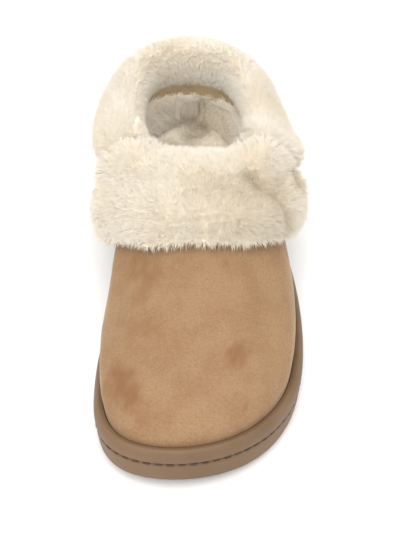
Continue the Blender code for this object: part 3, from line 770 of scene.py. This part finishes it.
def groove_path(count):
    """Points along the groove round the sole."""
    tree = solid_tree("outsole")
    stations = [row[0] for row in RIM_LINE]
    heights = [row[1] for row in RIM_LINE]
    points = []
    for k in range(count):
        turn = 2 * math.pi * k / count
        inward = Vector((-math.sin(turn), math.cos(turn), 0))
        middle = shoe_point(LAST_MIDDLE, 0.125 - 0.068 * math.cos(turn), 0)
        height = 0.02
        for _ in range(4):
            start = Vector((middle.x, middle.y, height)) - inward * 0.2
            hit = tree.ray_cast(start, inward)
            height = float(np.interp(hit[0].y - TOE_Y, stations, heights)) - GROOVE_BELOW_RIM
        points.append(hit[0])
    return points


def fill_groove(mesh, path, height):
    """Raise the bottom of the groove between the stitches."""
    tree = KDTree(len(path))
    for k, point in enumerate(path):
        tree.insert(point, k)
    tree.balance()
    for vertex in mesh.vertices:
        gap = tree.find(vertex.co)[2]
        if gap < 0.003:
            vertex.co += vertex.normal * height * math.exp(-(gap / 0.0012) ** 2)
    mesh.update()


class CLOG_OT_stitches(bpy.types.Operator):
    """Lay the row of stitches in the groove round the sole"""
    bl_idname = "clog.stitches"
    bl_label = "Sole stitches"

    def execute(self, context):
        shapes = context.scene.clog_shapes
        path = np.array(groove_path(GROOVE_POINTS))
        path = np.vstack([path, path[:1]])
        run = np.concatenate([[0], np.cumsum(np.linalg.norm(np.diff(path, axis=0), axis=1))])
        count = round(run[-1] / shapes.stitch_pitch)
        builder = bmesh.new()
        for k in range(count):
            at = run[-1] * k / count
            here, ahead = (Vector([np.interp(s, run, path[:, axis]) for axis in range(3)])
                           for s in (at, min(at + 0.001, run[-1])))
            back = Vector([np.interp(max(at - 0.001, 0), run, path[:, axis]) for axis in range(3)])
            way = (ahead - back).normalized()
            out = way.cross(Vector((0, 0, 1))).normalized()
            tilt = way.to_track_quat("Z", "Y").to_matrix().to_4x4()
            tilt.translation = here + out * 0.0008
            stitch = bmesh.ops.create_uvsphere(builder, u_segments=6, v_segments=5,
                                               radius=STITCH_RADIUS)
            half = shapes.stitch_length / 2 - 0.0007
            for vertex in stitch["verts"]:
                vertex.co.z += half if vertex.co.z > 0 else -half
            bmesh.ops.transform(builder, matrix=tilt, verts=stitch["verts"])
        mesh = bpy.data.meshes.new("sole_stitches")
        builder.to_mesh(mesh)
        builder.free()
        mesh.shade_smooth()
        darker = [part * 0.8 for part in context.scene.clog_colours.thread]
        thread, _ = mottled_finish("thread", 0.8, (context.scene.clog_colours.thread, darker),
                                   (300, 4000), 0.5, 0.0001)
        place_piece("sole_stitches", mesh, thread)
        return {"FINISHED"}


class CLOG_OT_upper(bpy.types.Operator):
    """Smooth the upper, press its creases in and give it its suede"""
    bl_idname = "clog.upper"
    bl_label = "Suede upper"

    def execute(self, context):
        mesh = modified_mesh(merged_copy("upper"), "suede_upper", subdivided(2))
        press_creases(mesh, SUEDE_CREASES)
        brush_nap(mesh, NAP_PATCHES)
        place_piece("suede_upper", mesh, suede_finish(context.scene.clog_colours),
                    ["upper"])
        return {"FINISHED"}


def looks_inward(centre, direction):
    """Whether a face of the upper or its lining looks in towards the foot."""
    station = min(max(centre[1] - TOE_Y, 0.050), 0.200)
    return (shoe_point(LAST_MIDDLE, station, 0.042) - Vector(centre)).dot(Vector(direction)) > 0


def lining_faces(mesh):
    """The faces of the upper that look in towards the foot."""
    builder = bmesh.new()
    builder.from_mesh(mesh)
    outer = [face for face in builder.faces
             if not looks_inward(face.calc_center_median(), face.normal)]
    bmesh.ops.delete(builder, geom=outer, context="FACES")
    return builder


def in_band(face):
    """Whether a face of the upper's inside lies above the fleece's edge."""
    centre = face.calc_center_median()
    return centre.z > BAND_FOOT and centre.y > TOE_Y + BAND_FRONT


def lining_piece(name, band):
    """Cloth on the upper's inside: the band under the collar or the fleece below it."""
    builder = lining_faces(bpy.data.objects["suede_upper"].data)
    for place, along in ((shoe_point(0, 0, BAND_FOOT), (0, 0, 1)),
                         (shoe_point(0, BAND_FRONT, 0), (0, 1, 0))):
        geometry = builder.verts[:] + builder.edges[:] + builder.faces[:]
        bmesh.ops.bisect_plane(builder, geom=geometry, plane_co=place, plane_no=along)
    other = [face for face in builder.faces if in_band(face) != band]
    bmesh.ops.delete(builder, geom=other, context="FACES")
    for vertex in builder.verts:
        vertex.co += vertex.normal * 0.0004
    return modified_mesh(builder, name, ("SOLIDIFY", {"thickness": 0.0012, "offset": 1}))


def feather_edge(mesh):
    """Thin the fleece out towards its top edge, so it meets the band without a step."""
    for vertex in mesh.vertices:
        gap = BAND_FOOT - vertex.co.z
        if gap < FEATHER_WIDTH and vertex.co.y > TOE_Y + BAND_FRONT:
            vertex.co -= vertex.normal * FEATHER_DEPTH * (1 - gap / FEATHER_WIDTH) ** 2
    mesh.update()


def at_heel(centre, direction):
    """Where the fleece shows through the collar."""
    return (TOE_Y + OPENING_FRONT < centre[1] < TOE_Y + 0.250
            and looks_inward(centre, direction))


def on_footbed(centre, direction):
    """The footbed's top, where it shows through the collar."""
    return centre[1] > TOE_Y + OPENING_FRONT and direction[2] > 0.5


def at_top_edge(centre, direction):
    """The fleece's top edge, under the band."""
    return (centre[1] > TOE_Y + BAND_FRONT and BAND_FOOT - 0.0050 < centre[2]
            and looks_inward(centre, direction))


def at_thick_side(centre, direction):
    """The fleece's thicker side, by the big toe's side of the heel."""
    return (centre[0] < LAST_X - 0.007 and centre[1] > TOE_Y + 0.200 and centre[2] < 0.054
            and looks_inward(centre, direction))


class CLOG_OT_lining(bpy.types.Operator):
    """Line the upper and the footbed with fleece, and the collar with a tan band"""
    bl_idname = "clog.lining"
    bl_label = "Fleece lining"

    def execute(self, context):
        shapes, colours = context.scene.clog_shapes, context.scene.clog_colours
        fleece = fleece_finish(colours)
        footbed = modified_mesh(merged_copy("insole"), "footbed", subdivided(2))
        press_creases(footbed, FOOTBED_TUCKS)
        shell_attributes(footbed, INSIDE_TUCKS)
        place_piece("footbed", footbed, fleece, ["insole"])
        darker = [part * 0.85 for part in colours.band]
        band, _ = mottled_finish("collar_band", 0.95, (colours.band, darker), (90, 1400),
                                 0.4, 0.0001)
        place_piece("collar_band", lining_piece("collar_band", True), band)
        lining = lining_piece("lining", False)
        feather_edge(lining)
        press_creases(lining, LINING_TUCKS)
        shell_attributes(lining, INSIDE_TUCKS)
        place_piece("lining", lining, fleece)
        pile = fur_finish("fleece_pile", colours.fleece_tip, colours.fleece)
        blockers = solid_tree("outsole")
        short, width, count = shapes.fleece_length, shapes.pile_width, shapes.fleece_fibres
        for name, mesh, share, length, lean, where in (
                ("footbed_fleece", footbed, 0.25, short * 0.6, 0.1, on_footbed),
                ("lining_fleece", lining, 0.33, short, 0.1, at_heel),
                ("heel_fleece", lining, 0.17, short * 2.6, 0.1, at_thick_side),
                ("edge_fleece", lining, 0.25, short * 2.2, -0.8, at_top_edge)):
            wide = width * 1.6 if where is at_top_edge else width
            fibres = Fibres(int(count * share), length, wide, lean, 0.5, 0.05, INSIDE_TUCKS)
            grow_fur(mesh, name, fibres, pile, FLEECE_SEED, blockers, where)
        return {"FINISHED"}


class CLOG_OT_front_cuff(bpy.types.Operator):
    """Cover the front cuff with fur"""
    bl_idname = "clog.front_cuff"
    bl_label = "Front cuff fur"

    def execute(self, context):
        shapes, colours = context.scene.clog_shapes, context.scene.clog_colours
        fur = fur_finish("fur", colours.fur_tip, colours.fur_root_shade)
        shell = fur_shell("front_cuff", "heel_collar", "front_cuff_pile", shapes)
        place_piece("front_cuff_pile", shell, fur, ["front_cuff"])
        blockers = solid_tree("upper", "outsole")
        fibres = Fibres(shapes.cuff_fibres, shapes.pile_length, shapes.pile_width,
                        0.38, 0.25, 0.045, FUR_PARTINGS)
        grow_fur(shell, "front_cuff_fur", fibres, fur, CUFF_SEED, blockers)
        return {"FINISHED"}


class CLOG_OT_heel_collar(bpy.types.Operator):
    """Cover the heel collar with fur"""
    bl_idname = "clog.heel_collar"
    bl_label = "Heel collar fur"

    def execute(self, context):
        shapes, colours = context.scene.clog_shapes, context.scene.clog_colours
        fur = bpy.data.materials.get("fur") or fur_finish("fur", colours.fur_tip,
                                                          colours.fur_root_shade)
        shell = fur_shell("heel_collar", "front_cuff", "heel_collar_pile", shapes)
        place_piece("heel_collar_pile", shell, fur, ["heel_collar"])
        blockers = solid_tree("upper", "outsole")
        fibres = Fibres(shapes.collar_fibres, shapes.pile_length, shapes.pile_width,
                        0.22, 0.40, 0.045, FUR_PARTINGS)
        grow_fur(shell, "heel_collar_fur", fibres, fur, COLLAR_SEED, blockers)
        return {"FINISHED"}


class CLOG_OT_stage(bpy.types.Operator):
    """Pale floor, soft studio light and the camera"""
    bl_idname = "clog.stage"
    bl_label = "Stage"

    def execute(self, context):
        builder = bmesh.new()
        bmesh.ops.create_grid(builder, x_segments=1, y_segments=1, size=4)
        mesh = bpy.data.meshes.new("floor")
        builder.to_mesh(mesh)
        builder.free()
        floor = bpy.data.objects.new("floor", mesh)
        context.scene.collection.objects.link(floor)
        paint, shader = new_finish("floor_paint", 0.9)
        shader.inputs["Base Color"].default_value = (*context.scene.clog_colours.floor, 1)
        mesh.materials.append(paint)
        aim = shoe_point(0, 0.115, 0.040)
        for name, offset, size, power in (("key", (-0.52, -0.68, 1.02), 1.6, 7.3),
                                          ("top", (0.02, 0.02, 0.80), 0.4, 0.9),
                                          ("front", (0.08, -0.66, 0.95), 0.9, 5.9),
                                          ("fill", (0.66, -0.55, 0.90), 1.2, 2.2),
                                          ("rim", (0.05, 0.80, 1.10), 1.0, 2.0)):
            lamp = bpy.data.lights.new(name, "AREA")
            lamp.shape = "DISK"
            lamp.size = size
            lamp.energy = power
            holder = bpy.data.objects.new(name, lamp)
            holder.location = aim + Vector(offset)
            holder.rotation_mode = "QUATERNION"
            holder.rotation_quaternion = (-Vector(offset)).to_track_quat("-Z", "Y")
            context.scene.collection.objects.link(holder)
        world = bpy.data.worlds.new("studio")
        world.use_nodes = True
        world.node_tree.nodes["Background"].inputs["Color"].default_value = (1, 1, 1, 1)
        world.node_tree.nodes["Background"].inputs["Strength"].default_value = 0.95
        context.scene.world = world
        context.scene.view_settings.view_transform = "Standard"
        eye = bpy.data.cameras.new("camera")
        eye.lens = 95
        eye.sensor_width = 36
        camera = bpy.data.objects.new("camera", eye)
        camera.location = shoe_point(0.0282, -0.4016, 0.5456)
        camera.rotation_euler = (aim - camera.location).to_track_quat("-Z", "Y").to_euler()
        camera.rotation_euler.rotate_axis("Z", math.radians(-1.06))
        context.scene.collection.objects.link(camera)
        context.scene.camera = camera
        return {"FINISHED"}


CLOG_OPERATORS = (CLOG_OT_stage, CLOG_OT_outsole, CLOG_OT_stitches, CLOG_OT_upper,
                  CLOG_OT_lining, CLOG_OT_front_cuff, CLOG_OT_heel_collar)


class CLOG_PT_panel(bpy.types.Panel):
    """The clog's pieces, in the order they are made"""
    bl_label = "Fur-lined clog"
    bl_idname = "CLOG_PT_panel"
    bl_space_type = "VIEW_3D"
    bl_region_type = "UI"
    bl_category = "Clog"

    def draw(self, context):
        for operator in CLOG_OPERATORS:
            self.layout.operator(operator.bl_idname)
        for group in (context.scene.clog_shapes, context.scene.clog_colours):
            for name in group.__annotations__:
                self.layout.prop(group, name)


CLASSES = (ClogShapes, ClogColours, *CLOG_OPERATORS, CLOG_PT_panel)


def register():
    for kind in CLASSES:
        bpy.utils.register_class(kind)
    bpy.types.Scene.clog_shapes = PointerProperty(type=ClogShapes)
    bpy.types.Scene.clog_colours = PointerProperty(type=ClogColours)


def unregister():
    del bpy.types.Scene.clog_shapes
    del bpy.types.Scene.clog_colours
    for kind in reversed(CLASSES):
        bpy.utils.unregister_class(kind)


def main():
    register()
    bpy.ops.clog.stage()
    bpy.ops.clog.outsole()
    bpy.ops.clog.stitches()
    bpy.ops.clog.upper()
    bpy.ops.clog.lining()
    bpy.ops.clog.front_cuff()
    bpy.ops.clog.heel_collar()


if __name__ == "__main__":
    main()
